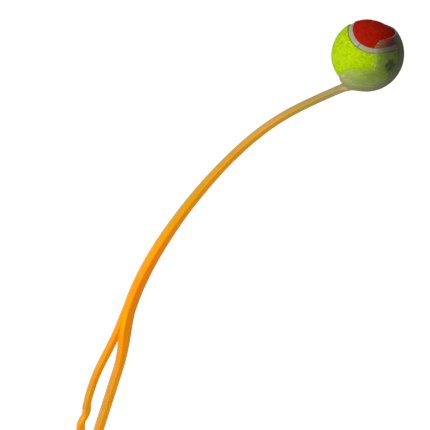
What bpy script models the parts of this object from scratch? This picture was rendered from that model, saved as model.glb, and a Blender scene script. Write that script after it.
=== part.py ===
# Dog ball thrower: a springy strap of a stem with a loop handle, a clear ball cup and a felt ball.
# The side profile lies in the XZ plane, with the ball at the top. The handle frame has +Z up the
# handle, +X to its back and its origin in the middle of the grip. Everything hangs on that frame.

import math

import bmesh
import bpy
import numpy as np
from mathutils import Matrix, Vector

mm = 0.001
TURN = 2 * math.pi

# Handle, seen from the side
handle_lean = math.radians(17)
strap_width = 17.5 * mm
grip_depth_back = 8.3 * mm
grip_depth_front = 8.8 * mm
back_arm_thickness = 8.4 * mm
back_arm_width_share = 0.92
# Below the fork the back arm swings out early and thins late
fork_swing_power = 0.88
fork_thin_power = 2
front_arm_thickness = 7.1 * mm
front_arm_width = 11.4 * mm
butt_drop = 57 * mm
butt_corner_radius = 5.5 * mm
arm_edge_radius = 2 * mm
finger_pitch = 21.3 * mm
finger_wave = 0.95 * mm
# The outer line's waves sit this much lower than the inner line's, fading in below the first peak
outer_wave_lag = 4.5 * mm
outer_lag_start_share = 0.3
grip_taper = 0.02
first_finger_peak = 41.5 * mm
fork_top = 140 * mm
fork_bottom = 78 * mm
front_arm_top = 156 * mm
front_arm_root_thickness = 4 * mm
front_arm_root_width_share = 0.9
front_arm_shares = (1.12, 1.15, 1.11, 0.98, 0.78, 0.57, 0.4, 0.29, 0.2, 0.09, -0.02)
# The bottom bar's end thins and narrows where it runs up inside the front arm
join_thickness_share = 0.55
join_width_share = 0.6
web_thickness = 4 * mm
web_back_top = 22 * mm
web_front_top = -12 * mm

# Stem, from the fork to the cup
stem_length = 285.8 * mm
stem_start_offset = 1.1 * mm
stem_lean_degrees = (1, 8.5, 14.6, 18.9, 23.4, 28, 35.8, 45.6, 49.9)
stem_thickness = 11.6 * mm
stem_thickness_shares = (1, 0.95, 0.86, 0.74, 0.66, 0.57, 0.53, 0.51, 0.5)
stem_width_shares = (1, 0.97, 0.95, 0.9, 0.85, 0.78, 0.72, 0.66, 0.63)
stem_edge_share = 0.46
# Above 1, rounded edges draw in, which leaves a soft ridge along each side
ridge_power = 1.8
# The ridge lies this far off the middle, towards the stem's outer side, in shares of the edge radius
ridge_shift_share = 0.35

# Cup
ball_radius = 31.5 * mm
running_gap = 0.3 * mm
ball_clearance = 1.3 * mm
cup_wall = 1.4 * mm
cup_rim_round = 0.55 * mm
# Where the stem ends, seen from the cup's centre, in shares of the cup's radius
cup_below_share = 0.639
cup_beyond_share = 1.212
low_rim_share = -0.105
low_rim_dip_start_share = -0.25
low_rim_dip = 1.9
rim_bevel_limit = math.radians(60)
rim_search_degrees = (40, 140)
hood_edge_share = 0.125
hood_top_share = 0.62
hood_corner_share = 0.15
notch_corner_share = 0.1
mouth_half_angle = math.radians(105.3)
neck_rim_angle = math.radians(88)
neck_dip_degrees = (142, 168)
release_degrees = 43

# Neck: the cup's clear tang runs back under the coloured stem as a scarf joint
scarf_length = 120 * mm
scarf_start_thickness = 0.9 * mm
tongue_tip_thickness = 1.3 * mm
tongue_reach = 7 * mm
tongue_width_share = 0.7
neck_foot_width = 19 * mm
neck_upper_spread = 5 * mm
neck_lower_angle = math.radians(8)

# Ball
felt_thickness = 3 * mm
seam_strip_width = 5 * mm
seam_strip_drop = 0.7 * mm
seam_strip_gap = 0.5 * mm
seam_swing_share = 0.12
seam_joint_turn = 0.644
core_wall = 3.3 * mm
ball_turn_degrees = (-107.5, 23.3, 140.9)

overrun = 2 * mm
merge_gap = 0.01 * mm

# How finely each form is divided
path_samples = 601
rim_samples = 2001
edge_steps = 3
corner_steps = 6
stem_steps = 56
fork_steps = 15
straight_steps = 7
join_steps = 5
front_arm_steps = 64
web_steps = 24
scarf_steps = 28
neck_steps = 30
foot_steps = 15
cup_segments, cup_rings = 96, 30
rim_steps = 3
sphere_segments, sphere_rings = 64, 32
felt_subdivisions = 4
groove_steps = 132
seam_steps = 150
core_steps = 8
core_turn_steps = 40
crease_angle = math.radians(35)

cup_inner_radius = ball_radius + ball_clearance
cup_outer_radius = cup_inner_radius + cup_wall
cup_middle_radius = cup_inner_radius + cup_wall / 2
felt_inner_radius = ball_radius - felt_thickness
core_radius = felt_inner_radius - running_gap


def clear_scene():
    for item in list(bpy.data.objects):
        bpy.data.objects.remove(item, do_unlink=True)


def new_collection(name, parent=None):
    made = bpy.data.collections.new(name)
    (parent or bpy.context.scene.collection).children.link(made)
    return made


def new_material(name, colour, roughness, alpha=1.0):
    made = bpy.data.materials.new(name)
    made.use_nodes = True
    shader = made.node_tree.nodes["Principled BSDF"]
    shader.inputs["Base Color"].default_value = (*colour, 1.0)
    shader.inputs["Roughness"].default_value = roughness
    shader.inputs["Metallic"].default_value = 0.0
    shader.inputs["Alpha"].default_value = alpha
    return made


def new_object(name, mesh, collection, material=None, parent=None):
    made = bpy.data.objects.new(name, mesh)
    collection.objects.link(made)
    if material is not None:
        mesh.materials.append(material)
    made.parent = parent
    return made


def new_empty(name, location, turn, parent=None):
    made = bpy.data.objects.new(name, None)
    part_collection.objects.link(made)
    made.empty_display_size = strap_width
    made.parent = parent
    made.location = location
    made.rotation_euler = turn.to_euler()
    return made


def shade(item):
    for face in item.data.polygons:
        face.use_smooth = True
    item.data.set_sharp_from_angle(angle=crease_angle)


def boolean(item, other, operation):
    """Adds a Boolean with a helper, which moves to the cutters' collection."""
    for holder in list(other.users_collection):
        holder.objects.unlink(other)
    cutter_collection.objects.link(other)
    other.hide_render = True
    other.display_type = "WIRE"
    modifier = item.modifiers.new(operation.title(), "BOOLEAN")
    modifier.operation = operation
    modifier.solver = "EXACT"
    modifier.object = other
    return modifier


def smooth_table(values, share):
    """Reads a table of evenly spaced values at shares from 0 to 1, along a Catmull-Rom curve."""
    values = np.asarray(values, float)
    ends = (2 * values[0] - values[1], 2 * values[-1] - values[-2])
    padded = np.concatenate([ends[:1], values, ends[1:]])
    place = np.clip(share, 0, 1) * (len(values) - 1)
    first = np.minimum(place.astype(int), len(values) - 2)
    u = place - first
    a, b, c, d = (padded[first + step] for step in range(4))
    return b + u * (c - a + u * (2 * a - 5 * b + 4 * c - d + u * (3 * b - a - 3 * c + d))) / 2


def smooth_step(share):
    share = np.clip(share, 0, 1)
    return share * share * (3 - 2 * share)


# Lofts: rings of points, each ring in the plane across the path


def normals_of(path):
    """Unit normals of a path in the side plane, to its left as the path runs."""
    tangent = np.gradient(path, axis=0)
    tangent /= np.linalg.norm(tangent, axis=1)[:, None]
    return np.stack([-tangent[:, 1], tangent[:, 0]], axis=1)


def rounded_ring(centre, normal, thickness, width, edge_radius):
    """A rectangle with eased edges across the path: thickness along the normal, width along Y."""
    half = np.array([thickness / 2 - edge_radius, width / 2 - edge_radius])
    corners = ((1, 1), (-1, 1), (-1, -1), (1, -1))
    ring = []
    for quarter, (side, level) in enumerate(corners):
        for step in range(edge_steps + 1):
            angle = TURN / 4 * (quarter + step / edge_steps)
            inward = abs(math.cos(angle)) ** ridge_power
            sideways = abs(math.sin(angle)) ** ridge_power
            out = side * (half[0] + edge_radius * inward) + edge_radius * ridge_shift_share * sideways
            across = level * (half[1] + edge_radius * sideways)
            ring.append((centre[0] + normal[0] * out, across, centre[1] + normal[1] * out))
    return ring


def box_ring(low_point, high_point, width):
    """A rectangle between two points of the side plane, with its width along Y."""
    (x0, z0), (x1, z1) = low_point, high_point
    side = width / 2
    return [(x1, side, z1), (x0, side, z0), (x0, -side, z0), (x1, -side, z1)]


def loft(name, rings, collection, material=None, parent=None, closed=False):
    """Joins rings of equal point counts into one closed body, capped at both ends unless it closes."""
    shape = bmesh.new()
    rows = [[shape.verts.new(point) for point in ring] for ring in rings]
    count = len(rows[0])
    pairs = list(zip(rows, rows[1:] + rows[:1])) if closed else list(zip(rows, rows[1:]))
    for low, high in pairs:
        for i in range(count):
            j = (i + 1) % count
            shape.faces.new((low[i], low[j], high[j], high[i]))
    if not closed:
        shape.faces.new(rows[0])
        shape.faces.new(rows[-1])
    bmesh.ops.recalc_face_normals(shape, faces=shape.faces)
    mesh = bpy.data.meshes.new(name)
    shape.to_mesh(mesh)
    shape.free()
    return new_object(name, mesh, collection, material, parent)


# Paths in the handle frame's side plane


def arc_points(centre, radius, start_degrees, end_degrees):
    angles = np.radians(np.linspace(start_degrees, end_degrees, corner_steps + 1))
    return np.array(centre) + radius * np.stack([np.cos(angles), np.sin(angles)], axis=1)


def stem_path(share):
    """Points of the stem's middle line: its lean is summed from the fork to the cup."""
    fine = np.linspace(0, 1, path_samples)
    lean = np.radians(smooth_table(stem_lean_degrees, fine))
    step = stem_length * np.diff(fine, prepend=0)
    x = stem_start_offset + np.cumsum(np.sin(lean) * step)
    z = fork_top + np.cumsum(np.cos(lean) * step)
    return np.stack([np.interp(share, fine, x), np.interp(share, fine, z)], axis=1)


def stem_end_frame():
    """The stem's last point, its direction there, and the normal on its outer, convex side."""
    end = stem_path(np.ones(1))[0]
    lean = math.radians(stem_lean_degrees[-1])
    direction = np.array([math.sin(lean), math.cos(lean)])
    return end, direction, np.array([-direction[1], direction[0]])


def front_arm_x(z, lag=0.0):
    """How far in front the front arm runs at a height: a spreading arm, then finger waves."""
    share = (z - first_finger_peak) / (front_arm_top - first_finger_peak)
    spread = grip_depth_front * smooth_table(front_arm_shares, share)
    depth = grip_depth_front - grip_taper * (first_finger_peak - z)
    wave = depth + finger_wave * np.cos(TURN * (z + lag - first_finger_peak) / finger_pitch)
    return -np.where(z > first_finger_peak, spread, wave)


def back_arm_x(z):
    share = (fork_top - z) / (fork_top - fork_bottom)
    swing = smooth_step(share ** fork_swing_power)
    return stem_start_offset + (grip_depth_back - stem_start_offset) * swing


def strap_stations():
    """Path, thickness and width of the stem, the back arm and the butt, as one strap."""
    bar_z = -butt_drop + back_arm_thickness / 2
    turn_z = bar_z + butt_corner_radius
    inner_x = grip_depth_back - butt_corner_radius
    front_x = butt_corner_radius - grip_depth_front
    stem_share = np.linspace(1, 0, stem_steps)
    fork_z = np.linspace(fork_top, fork_bottom, fork_steps)[1:]
    straight_z = np.linspace(fork_bottom, turn_z, straight_steps)[1:-1]
    rise_z = np.linspace(turn_z, turn_z + 2 * butt_corner_radius, join_steps)[1:]
    path = np.concatenate([
        stem_path(stem_share),
        np.stack([back_arm_x(fork_z), fork_z], axis=1),
        np.stack([back_arm_x(straight_z), straight_z], axis=1),
        arc_points((inner_x, turn_z), butt_corner_radius, 0, -90),
        arc_points((front_x, turn_z), butt_corner_radius, -90, -180),
        np.stack([front_arm_x(rise_z), rise_z], axis=1),
    ])
    fork_share = smooth_step((fork_top - fork_z) / (fork_top - fork_bottom))
    arm_share = back_arm_thickness / stem_thickness
    rise_share = np.linspace(1, join_thickness_share, len(rise_z))
    rest = len(path) - len(stem_share) - len(fork_z) - len(rise_z)
    thickness = np.concatenate([
        stem_thickness * smooth_table(stem_thickness_shares, stem_share),
        stem_thickness * (1 - fork_share ** fork_thin_power * (1 - arm_share)),
        np.full(rest, back_arm_thickness),
        back_arm_thickness * rise_share,
    ])
    width = strap_width * np.concatenate([
        smooth_table(stem_width_shares, stem_share),
        1 - fork_share * (1 - back_arm_width_share),
        np.full(rest + len(rise_z), back_arm_width_share),
    ])
    width[-len(rise_z):] *= np.linspace(1, join_width_share, len(rise_z))
    return path, thickness, width


def strap_rings(path, thickness, width):
    edges = thickness * stem_edge_share
    rows = zip(path, -normals_of(path), thickness, width, edges)
    return [rounded_ring(*row) for row in rows]


def make_front_arm():
    """The front arm, its outer waves a little below its inner ones; its ends lie inside the strap."""
    bottom = -butt_drop + back_arm_thickness / 2 + butt_corner_radius
    z = np.linspace(front_arm_top, bottom, front_arm_steps)
    start = smooth_step((first_finger_peak - z) / (finger_pitch * outer_lag_start_share))
    outward = (front_arm_x(z) - front_arm_x(z, outer_wave_lag)) * start
    path = np.stack([front_arm_x(z) - outward / 2, z], axis=1)
    root = smooth_step((front_arm_top - z) / (front_arm_top - fork_top))
    thickness = front_arm_root_thickness + (front_arm_thickness - front_arm_root_thickness) * root
    thickness += outward
    width = front_arm_width * (front_arm_root_width_share + (1 - front_arm_root_width_share) * root)
    rows = zip(path, -normals_of(path), thickness, width, thickness * stem_edge_share)
    rings = [rounded_ring(*row) for row in rows]
    return loft("front_arm_helper", rings, cutter_collection, parent=handle_frame)


def make_web():
    """The thin panel that closes the loop's lower end, its top edge falling to the front arm."""
    low = -butt_drop + back_arm_thickness / 2
    z = np.linspace(low, web_back_top, web_steps)
    share = np.clip((z - web_front_top) / (web_back_top - web_front_top), 0, 1)
    back = np.full(len(z), grip_depth_back)
    front = front_arm_x(z)
    slope_start = float(front_arm_x(np.array([web_front_top]))[0])
    rising = slope_start + (grip_depth_back - slope_start) * share
    front = np.where(z > web_front_top, np.minimum(rising, grip_depth_back - overrun / 2), front)
    rows = zip(np.stack([front, z], axis=1), np.stack([back, z], axis=1))
    rings = [box_ring(low_point, high_point, web_thickness) for low_point, high_point in rows]
    return loft("web_helper", rings, cutter_collection, parent=handle_frame)


# The scarf joint between the coloured stem and the clear tang


def scarf_line(share, shift=0.0):
    """The joint's line in the side plane, shifted along the stem's outer normal."""
    path = stem_path(share)
    normal = normals_of(path)
    thickness = stem_thickness * smooth_table(stem_thickness_shares, share)
    start = 1 - scarf_length / stem_length
    rise = np.clip((share - start) / (1 - start), 0, 1)
    low = -thickness / 2 + scarf_start_thickness
    high = thickness / 2 - tongue_tip_thickness
    return path + normal * (low + (high - low) * rise + shift)[:, None], normal


def scarf_block(name, first_share, last_reach, above, shift):
    """A wide block on one side of the scarf line, which trims the stem or the tang."""
    share = np.linspace(first_share, 1, scarf_steps)
    line, normal = scarf_line(share, shift)
    _, direction, end_normal = stem_end_frame()
    line = np.concatenate([line, line[-1:] + direction * last_reach])
    normal = np.concatenate([normal, end_normal[None]])
    far = stem_thickness if above else -stem_thickness
    rows = zip(line, line + normal * far)
    rings = [box_ring(near, away, strap_width + overrun) for near, away in rows]
    return loft(name, rings, cutter_collection, parent=handle_frame)


def tongue_path_points():
    """Stations past the stem's end, so that the coloured tongue reaches into the neck."""
    end, direction, _ = stem_end_frame()
    return end + direction * tongue_reach


def make_strap(material):
    """The coloured moulding: stem, back arm, butt, front arm and web in one piece."""
    path, thickness, width = strap_stations()
    path = np.concatenate([tongue_path_points()[None], path])
    thickness = np.concatenate([thickness[:1], thickness])
    width = np.concatenate([width[:1] * tongue_width_share, width])
    item = loft("handle_stem", strap_rings(path, thickness, width), part_collection, material,
                handle_frame)
    boolean(item, make_front_arm(), "UNION")
    boolean(item, make_web(), "UNION")
    start = 1 - scarf_length / stem_length
    below = scarf_block("stem_scarf_cutter", start, 2 * tongue_reach, False, 0)
    boolean(item, below, "DIFFERENCE")
    shade(item)
    return item


# Cup


def round_union(a, b, radius):
    near = np.hypot(np.maximum(radius - a, 0), np.maximum(radius - b, 0))
    return np.maximum(radius, np.minimum(a, b)) - near


def round_intersection(a, b, radius):
    near = np.hypot(np.maximum(radius + a, 0), np.maximum(radius + b, 0))
    return np.minimum(-radius, np.maximum(a, b)) + near


def outside_cup(x, z):
    """Below zero where the cup has wall, in shares of its radius: a low bowl and a hood at the tip."""
    dip = np.maximum(low_rim_dip_start_share - x, 0)
    bowl = z - (low_rim_share - low_rim_dip * dip ** 3)
    hood = round_intersection(hood_edge_share - x, z - hood_top_share, hood_corner_share)
    return round_union(bowl, hood, notch_corner_share)


def release_vectors():
    """Unit vectors in the world: the way the ball leaves, across it in the side plane, and Y."""
    angle = math.radians(release_degrees)
    away = Vector((-math.sin(angle), 0, math.cos(angle)))
    side = Vector((math.cos(angle), 0, math.sin(angle)))
    return away, side, Vector((0, 1, 0))


def rim_angle(azimuth):
    """The angle from the cup's deepest point to its rim, in one direction round the release axis."""
    away, side, across = (np.array(vector) for vector in release_vectors())
    polar = np.radians(np.linspace(*rim_search_degrees, rim_samples))
    heading = math.cos(azimuth) * side + math.sin(azimuth) * across
    direction = -np.cos(polar)[:, None] * away + np.sin(polar)[:, None] * heading
    level = outside_cup(direction[:, 0], direction[:, 2])
    first = int(np.argmax(level > 0))
    part = level[first] / (level[first] - level[first - 1])
    open_angle = min(polar[first] - part * (polar[first] - polar[first - 1]), mouth_half_angle)
    dip_start, dip_end = np.radians(neck_dip_degrees)
    dip = smooth_step((abs(azimuth) - dip_start) / (dip_end - dip_start))
    return open_angle + dip * (neck_rim_angle - open_angle)


def cup_centre():
    """In the handle frame: the stem's line runs low past the cup's centre."""
    end, direction, normal = stem_end_frame()
    spot = end + (direction * cup_beyond_share + normal * cup_below_share) * cup_middle_radius
    return Vector((spot[0], 0, spot[1]))


def make_neck():
    """The clear tang: the stem's outline under the scarf, then a foot that spreads into the cup."""
    start = 1 - (scarf_length - running_gap) / stem_length
    share = np.linspace(start, 1, neck_steps)
    path = stem_path(share)
    normal = normals_of(path)
    thickness = stem_thickness * smooth_table(stem_thickness_shares, share)
    width = strap_width * smooth_table(stem_width_shares, share)
    upper = path + normal * thickness[:, None] / 2
    lower = path - normal * thickness[:, None] / 2
    centre = np.array([cup_centre().x, cup_centre().z])
    _, direction, outward = stem_end_frame()
    u = np.linspace(0, 1, foot_steps)[1:, None]
    # World down, seen from the leaning handle frame
    down = np.array([math.sin(handle_lean), -math.cos(handle_lean)])
    left = np.array([-math.cos(handle_lean), -math.sin(handle_lean)])
    foot = math.cos(neck_lower_angle) * down + math.sin(neck_lower_angle) * left
    foot_tangent = np.array([-foot[1], foot[0]])
    foot_end = centre + cup_middle_radius * foot
    back = np.linalg.solve(np.stack([direction, -foot_tangent], axis=1), foot_end - lower[-1])
    foot_corner = lower[-1] + direction * back[0]
    lower_curve = bezier(lower[-1], foot_corner, foot_end, u)
    reach = upper[-1] - centre
    forward = -reach @ direction
    depth = cup_middle_radius ** 2 - reach @ reach + forward ** 2
    crook = upper[-1] + direction * (forward - math.sqrt(depth))
    wall_way = np.array([-(crook - centre)[1], (crook - centre)[0]]) / cup_middle_radius
    if wall_way @ outward < 0:
        wall_way = -wall_way
    upper_curve = bezier(upper[-1], crook, crook + wall_way * neck_upper_spread, u)
    upper = np.concatenate([upper, upper_curve])
    lower = np.concatenate([lower, lower_curve])
    spread = width[-1] + (neck_foot_width - width[-1]) * smooth_step(u[:, 0])
    width = np.concatenate([width, spread])
    rings = []
    for high, low, across in zip(upper, lower, width):
        thick = float(np.linalg.norm(high - low))
        edge = min(thick * stem_edge_share, arm_edge_radius)
        rings.append(rounded_ring((high + low) / 2, (high - low) / thick, thick, across, edge))
    neck = loft("neck_helper", rings, cutter_collection, parent=handle_frame)
    above = scarf_block("tang_scarf_cutter", start - overrun / stem_length, tongue_reach + running_gap,
                        True, -running_gap)
    boolean(neck, above, "DIFFERENCE")
    inside = sphere("cup_middle_cutter", cup_middle_radius, cutter_collection, cup_centre())
    boolean(neck, inside, "DIFFERENCE")
    return neck


def bezier(start, corner, end, u):
    return start * (1 - u) ** 2 + 2 * corner * u * (1 - u) + end * u ** 2


def sphere(name, radius, collection, centre):
    shape = bmesh.new()
    bmesh.ops.create_uvsphere(shape, u_segments=sphere_segments, v_segments=sphere_rings, radius=radius)
    mesh = bpy.data.meshes.new(name)
    shape.to_mesh(mesh)
    shape.free()
    item = new_object(name, mesh, collection, parent=handle_frame)
    item.location = centre
    return item


def make_cup(material):
    """A sphere's lower half, its rings drawn down or up to the rim, then given its wall."""
    shape = bmesh.new()
    bmesh.ops.create_uvsphere(shape, u_segments=cup_segments, v_segments=cup_rings, radius=1)
    upper = [vert for vert in shape.verts if vert.co.z > 1 / (2 * cup_rings)]
    bmesh.ops.delete(shape, geom=upper, context="VERTS")
    away, side, across = release_vectors()
    known = {}
    for vert in shape.verts:
        polar = math.acos(max(-1, min(1, -vert.co.z)))
        azimuth = math.atan2(vert.co.y, vert.co.x)
        key = round(azimuth, 4)
        if key not in known:
            known[key] = rim_angle(azimuth)
        polar *= known[key] / (TURN / 4)
        heading = math.cos(azimuth) * side + math.sin(azimuth) * across
        vert.co = cup_outer_radius * (heading * math.sin(polar) - away * math.cos(polar))
    bmesh.ops.recalc_face_normals(shape, faces=shape.faces)
    mesh = bpy.data.meshes.new("ball_cup")
    shape.to_mesh(mesh)
    shape.free()
    item = new_object("ball_cup", mesh, part_collection, material, handle_frame)
    # The rim's shape is worked out upright, so the cup turns back by the handle's lean
    item.location = cup_centre()
    item.rotation_euler = (0, -handle_lean, 0)
    wall = item.modifiers.new("Wall", "SOLIDIFY")
    wall.thickness = cup_wall
    wall.offset = -1
    rim = item.modifiers.new("Rim", "BEVEL")
    rim.width = cup_rim_round
    rim.segments = rim_steps
    rim.limit_method = "ANGLE"
    rim.angle_limit = rim_bevel_limit
    boolean(item, make_neck(), "UNION")
    shade(item)
    return item


# Ball


def seam_point(turn):
    """A tennis ball's seam on the unit sphere."""
    a, b = 1 - seam_swing_share, seam_swing_share
    x = a * np.cos(turn) + b * np.cos(3 * turn)
    y = a * np.sin(turn) - b * np.sin(3 * turn)
    z = 2 * math.sqrt(a * b) * np.sin(2 * turn)
    return np.stack([x, y, z], axis=1)


def seam_rings(turn, inner, outer, width, closed):
    point = seam_point(turn)
    step = np.gradient(point, axis=0)
    if closed:
        step = np.roll(point, -1, axis=0) - np.roll(point, 1, axis=0)
    across = np.cross(point, step)
    across /= np.linalg.norm(across, axis=1)[:, None]
    half = width / 2 / outer
    rings = []
    for spot, way in zip(point, across):
        ring = []
        for radius, side in ((outer, -1), (outer, 0), (outer, 1), (inner, 1), (inner, -1)):
            ring.append(radius * (math.cos(half * side) * spot + math.sin(half * side) * way))
        rings.append(ring)
    return rings


def felt_shell(name):
    """A hollow sphere of felt with the seam's groove cut through it, which leaves two panels."""
    outer = ico_sphere(name, ball_radius)
    inner = ico_sphere(name + "_inside_cutter", felt_inner_radius)
    boolean(outer, inner, "DIFFERENCE")
    turn = np.linspace(0, TURN, groove_steps, endpoint=False)
    groove_width = seam_strip_width + 2 * running_gap
    rings = seam_rings(turn, felt_inner_radius - overrun, ball_radius + overrun, groove_width, True)
    groove = loft(name + "_groove_cutter", rings, cutter_collection, parent=ball_frame, closed=True)
    boolean(outer, groove, "DIFFERENCE")
    return outer


def ico_sphere(name, radius):
    shape = bmesh.new()
    bmesh.ops.create_icosphere(shape, subdivisions=felt_subdivisions, radius=radius)
    mesh = bpy.data.meshes.new(name)
    shape.to_mesh(mesh)
    shape.free()
    return new_object(name, mesh, part_collection, parent=ball_frame)


def make_felt_panel(name, waist, material):
    """One of the two dumbbell-shaped panels: the piece of the grooved shell at this waist."""
    shell = felt_shell(name + "_shell")
    bpy.context.view_layer.update()
    graph = bpy.context.evaluated_depsgraph_get()
    mesh = bpy.data.meshes.new_from_object(shell.evaluated_get(graph))
    shape = bmesh.new()
    shape.from_mesh(mesh)
    target = Vector(waist) * ball_radius
    seed = min(shape.verts, key=lambda vert: (vert.co - target).length)
    kept, edge_of_growth = {seed}, [seed]
    while edge_of_growth:
        vert = edge_of_growth.pop()
        for edge in vert.link_edges:
            other = edge.other_vert(vert)
            if other not in kept:
                kept.add(other)
                edge_of_growth.append(other)
    bmesh.ops.delete(shape, geom=[vert for vert in shape.verts if vert not in kept], context="VERTS")
    shape.to_mesh(mesh)
    shape.free()
    mesh.name = name
    item = new_object(name, mesh, part_collection, material, ball_frame)
    for modifier in list(shell.modifiers):
        bpy.data.objects.remove(modifier.object, do_unlink=True)
    bpy.data.objects.remove(shell, do_unlink=True)
    shade(item)
    return item


def make_seam_strip(material):
    """The rubber strip in the groove, whose two ends meet in a narrow joint."""
    gap = seam_strip_gap / ball_radius
    turn = TURN * seam_joint_turn + np.linspace(gap / 2, TURN - gap / 2, seam_steps)
    rings = seam_rings(turn, felt_inner_radius, ball_radius - seam_strip_drop, seam_strip_width, False)
    item = loft("seam_strip", rings, part_collection, material, ball_frame)
    shade(item)
    return item


def make_core_half(name, upper, material):
    """One half of the hollow rubber core, turned from a quarter ring."""
    inner = core_radius - core_wall
    lift = running_gap / 2
    profile = []
    outward, inward = range(core_steps + 1), range(core_steps, -1, -1)
    for radius, order in ((core_radius, outward), (inner, inward)):
        top = math.asin(lift / radius)
        for step in order:
            angle = TURN / 4 - (TURN / 4 - top) * step / core_steps
            profile.append((radius * math.cos(angle), 0, radius * math.sin(angle)))
    mesh = bpy.data.meshes.new(name)
    mesh.from_pydata(profile, [(i, i + 1) for i in range(len(profile) - 1)], [])
    item = new_object(name, mesh, part_collection, material, ball_frame)
    turned = item.modifiers.new("Turn", "SCREW")
    turned.steps = turned.render_steps = core_turn_steps
    turned.use_merge_vertices = True
    turned.merge_threshold = merge_gap
    if not upper:
        item.rotation_euler = (TURN / 2, 0, 0)
    shade(item)
    return item


clear_scene()
part_collection = new_collection("dog_ball_thrower")
cutter_collection = new_collection("cutters")
cutter_collection.hide_render = True

orange_plastic = new_material("orange_plastic", (0.92, 0.36, 0.01), 0.35)
smoke_plastic = new_material("smoke_plastic", (0.62, 0.63, 0.6), 0.12, 0.35)
yellow_felt = new_material("yellow_felt", (0.42, 0.67, 0.01), 0.95)
red_felt = new_material("red_felt", (0.5, 0.03, 0.005), 0.95)
seam_rubber = new_material("seam_rubber", (0.42, 0.39, 0.36), 0.8)
core_rubber = new_material("core_rubber", (0.09, 0.09, 0.08), 0.7)

handle_frame = new_empty("handle_frame", (0, 0, 0), Matrix.Rotation(handle_lean, 3, "Y"))
way_out = release_vectors()[0]
ball_shift = cup_inner_radius - ball_radius - running_gap
lean_back = Matrix.Rotation(-handle_lean, 3, "Y")
ball_centre = cup_centre() - lean_back @ way_out * ball_shift
slide_turn = way_out.to_track_quat("Z", "Y").to_matrix()
ball_slide = new_empty("ball_slide", ball_centre, lean_back @ slide_turn, handle_frame)
ball_frame = new_empty("ball_frame", (0, 0, 0), Matrix.Identity(3), ball_slide)
turned_ball = Matrix.Identity(3)
for degrees, axis in zip(ball_turn_degrees, "XYZ"):
    turned_ball = Matrix.Rotation(math.radians(degrees), 3, axis) @ turned_ball
ball_frame.rotation_euler = (slide_turn.inverted() @ turned_ball).to_euler()

make_strap(orange_plastic)
make_cup(smoke_plastic)
make_felt_panel("felt_panel_yellow", (0, 0, 1), yellow_felt)
make_felt_panel("felt_panel_red", (0, 0, -1), red_felt)
make_seam_strip(seam_rubber)
make_core_half("core_half_a", True, core_rubber)
make_core_half("core_half_b", False, core_rubber)

bpy.context.view_layer.update()
print("ball centre", [round(value, 5) for value in ball_slide.matrix_world.translation])
print("cup centre", [round(value, 5) for value in handle_frame.matrix_world @ cup_centre()])
print("release direction", [round(value, 5) for value in way_out])
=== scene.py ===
import math

import bmesh
import bpy
import numpy as np
from mathutils import Matrix


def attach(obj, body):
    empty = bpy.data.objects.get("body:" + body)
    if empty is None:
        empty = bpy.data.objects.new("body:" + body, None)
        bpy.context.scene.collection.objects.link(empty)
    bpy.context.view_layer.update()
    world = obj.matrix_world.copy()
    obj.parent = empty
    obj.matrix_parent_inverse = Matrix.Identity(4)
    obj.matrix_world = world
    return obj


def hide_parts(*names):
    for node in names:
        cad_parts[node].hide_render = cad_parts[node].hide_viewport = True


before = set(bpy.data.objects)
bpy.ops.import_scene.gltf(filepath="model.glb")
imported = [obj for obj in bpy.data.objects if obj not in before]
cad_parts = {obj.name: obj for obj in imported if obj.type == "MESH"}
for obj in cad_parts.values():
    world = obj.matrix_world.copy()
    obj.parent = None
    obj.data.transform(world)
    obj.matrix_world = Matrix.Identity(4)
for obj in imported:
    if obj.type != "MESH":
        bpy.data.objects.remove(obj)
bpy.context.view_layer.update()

mm = 0.001
turn = 2 * math.pi
noCut = 1.0  # metres, a cut that no section reaches
tiny = 1e-9  # keeps a division away from zero

# The one frame that all pieces share: world metres, the side plane at y = 0
place = {
    "handleLean": math.radians(17),
    "ballCentre": np.array([0.25764, 0, 0.37451]),
    "cupCentre": np.array([0.25695, 0, 0.37525]),
    "ballRadius": 31.5 * mm,
    "feltInner": 28.5 * mm,
}


def smoothTable(values, share):
    # Catmull-Rom curve through evenly spaced values, read at shares from 0 to 1
    values = np.asarray(values, float)
    padded = np.concatenate([[2 * values[0] - values[1]], values, [2 * values[-1] - values[-2]]])
    spot = np.clip(share, 0, 1) * (len(values) - 1)
    first = np.minimum(spot.astype(int), len(values) - 2)
    u = spot - first
    a, b, c, d = (padded[first + step] for step in range(4))
    return b + u * (c - a + u * (2 * a - 5 * b + 4 * c - d + u * (3 * b - a - 3 * c + d))) / 2


def smoothStep(value, start=0.0, run=1.0):
    # 3s^2 - 2s^3, from 0 at the start to 1 after the run
    s = np.clip((value - start) / run, 0, 1)
    return s * s * (3 - 2 * s)


def unit(vectors):
    # each vector over its own length
    return vectors / np.linalg.norm(vectors, axis=-1, keepdims=True)


def leanToWorld(points):
    # turns points of the handle's own frame about y by the handle's lean
    c, s = math.cos(place["handleLean"]), math.sin(place["handleLean"])
    x, y, z = np.moveaxis(np.asarray(points, float), -1, 0)
    return np.stack([x * c + z * s, y, z * c - x * s], axis=-1)


def worldToLean(x, z):
    # the way back, for a place or a direction in the side plane
    c, s = math.cos(place["handleLean"]), math.sin(place["handleLean"])
    return np.array([x * c - z * s, x * s + z * c])


def gridFaces(rows, columns):
    # quads between neighbouring points of a grid whose columns close on themselves
    r, k = np.arange(rows - 1)[:, None], np.arange(columns)[None, :]
    nextColumn = (k + 1) % columns
    quad = [r * columns + k, r * columns + nextColumn, (r + 1) * columns + nextColumn, (r + 1) * columns + k]
    return np.stack(np.broadcast_arrays(*quad), axis=-1).reshape(-1, 4)


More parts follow.
